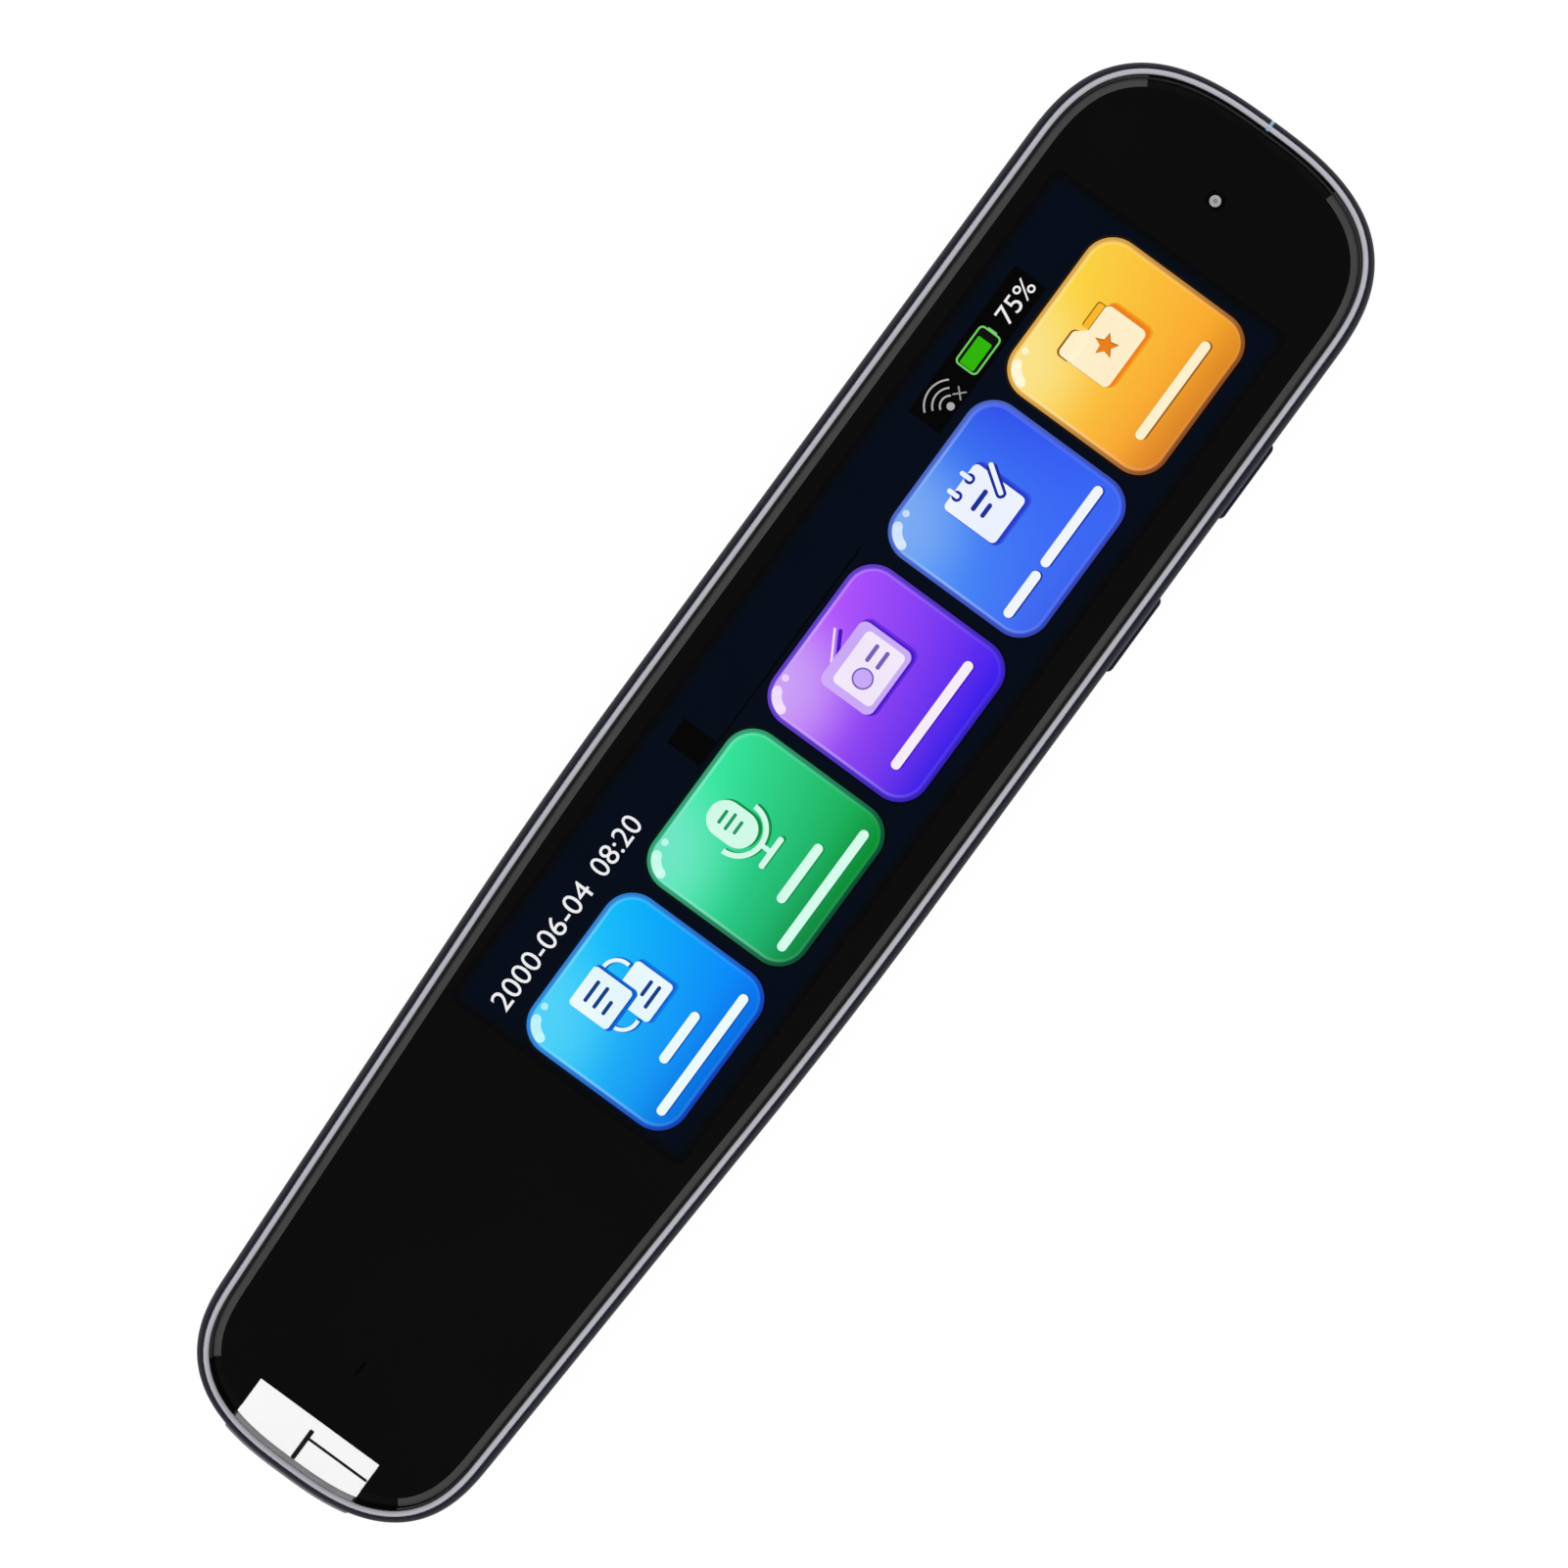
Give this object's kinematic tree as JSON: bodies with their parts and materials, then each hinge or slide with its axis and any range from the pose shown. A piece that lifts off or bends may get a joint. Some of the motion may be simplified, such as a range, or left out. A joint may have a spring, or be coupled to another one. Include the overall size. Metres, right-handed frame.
{
  "type": "scanning pen",
  "caption": "Flat hand-held scanning pen with a lit display under a black cover glass, side keys, a sprung scanning nose under a white sight window, and a charging port at the wide end.",
  "frame": {"origin": "middle of the flat back that the pen lies on, at the bottom centre of the bounding box", "axes": "+X across the pen toward the side keys, +Y along it from the scanning tip to the wide end, +Z out of the display"},
  "size_m": [0.0344, 0.1502, 0.0115],
  "materials": {
    "case_navy": "fine matte, dark navy",
    "frame_silver": "satin, anodised",
    "key_navy": "satin, anodised dark navy",
    "glass_black": "polished, printed black behind its border",
    "sight_white": "smooth, milky white",
    "mark_black": "printed",
    "rubber_black": "matte",
    "display_dark": "display face, polished",
    "backlight_white": "matte",
    "plate_steel": "rolled sheet",
    "screw_steel": "plated",
    "shield_steel": "tinned",
    "grommet_grey": "fine matte",
    "pipe_blue": "clear, lit light blue",
    "led_white": "smooth",
    "plunger_black": "fine matte",
    "board_green": "solder mask",
    "nose_grey": "fine matte, mid grey",
    "lens_clear": "polished, clear",
    "spring_steel": "drawn wire",
    "chip_black": "moulded, matte",
    "flex_amber": "film, satin",
    "battery_wrap": "foil pouch, satin",
    "connector_white": "moulded, matte",
    "lead_red": "wire insulation",
    "lead_black": "wire insulation",
    "port_steel": "drawn and plated"
  },
  "bodies": {
    "case": {"rear_cover": "case_navy", "bezel_frame": "frame_silver", "glass_gasket": "rubber_black", "cover_glass": "glass_black", "aim_window": "sight_white", "aim_mark": "mark_black", "display_panel": "display_dark", "backlight_unit": "backlight_white", "display_foam": "rubber_black", "chassis_plate": "plate_steel", "chassis_screw_1": "screw_steel", "chassis_screw_2": "screw_steel", "chassis_screw_3": "screw_steel", "chassis_screw_4": "screw_steel", "chassis_screw_5": "screw_steel", "chassis_screw_6": "screw_steel", "microphone": "shield_steel", "mic_boot": "rubber_black", "mic_grommet": "grommet_grey", "status_light_pipe": "pipe_blue", "status_led": "led_white", "upper_key_switch": "shield_steel", "lower_key_switch": "shield_steel", "side_key_board": "board_green", "nose_spring_left": "spring_steel", "nose_spring_right": "spring_steel", "trigger_switch": "chip_black", "scan_bracket": "plate_steel", "scan_board": "board_green", "image_sensor": "chip_black", "camera_holder": "plunger_black", "lens_barrel": "plunger_black", "camera_lens": "lens_clear", "scan_led_left": "led_white", "scan_led_right": "led_white", "light_guide_left": "lens_clear", "light_guide_right": "lens_clear", "battery_tape": "rubber_black", "battery": "battery_wrap", "battery_connector": "connector_white", "battery_lead_red": "lead_red", "battery_lead_black": "lead_black", "speaker_gasket": "rubber_black", "speaker": "plunger_black", "main_board": "board_green", "processor_shield": "shield_steel", "memory_chip": "chip_black", "radio_shield": "shield_steel", "usb_shell": "port_steel", "usb_tongue": "plunger_black", "display_flex": "flex_amber", "scan_flex": "flex_amber"},
    "upper_key": {"upper_key": "key_navy", "upper_key_plunger": "plunger_black"},
    "lower_key": {"lower_key": "key_navy", "lower_key_plunger": "plunger_black"},
    "nose": {"scan_nose": "nose_grey", "scan_window": "lens_clear", "trigger_plunger": "led_white"}
  },
  "joints": [
    {"name": "upper_key_press", "type": "slide", "parent": "case", "child": "upper_key", "axis": [-1, 0, 0], "range_m": [0, 0.00035], "stiffness_N_per_m": 2000},
    {"name": "lower_key_press", "type": "slide", "parent": "case", "child": "lower_key", "axis": [-1, 0, 0], "range_m": [0, 0.00035], "stiffness_N_per_m": 2000},
    {"name": "nose_press", "type": "slide", "parent": "case", "child": "nose", "axis": [0, 1, 0], "range_m": [0, 0.0008], "stiffness_N_per_m": 600, "deforming": ["nose_spring_left", "nose_spring_right"]}
  ]
}
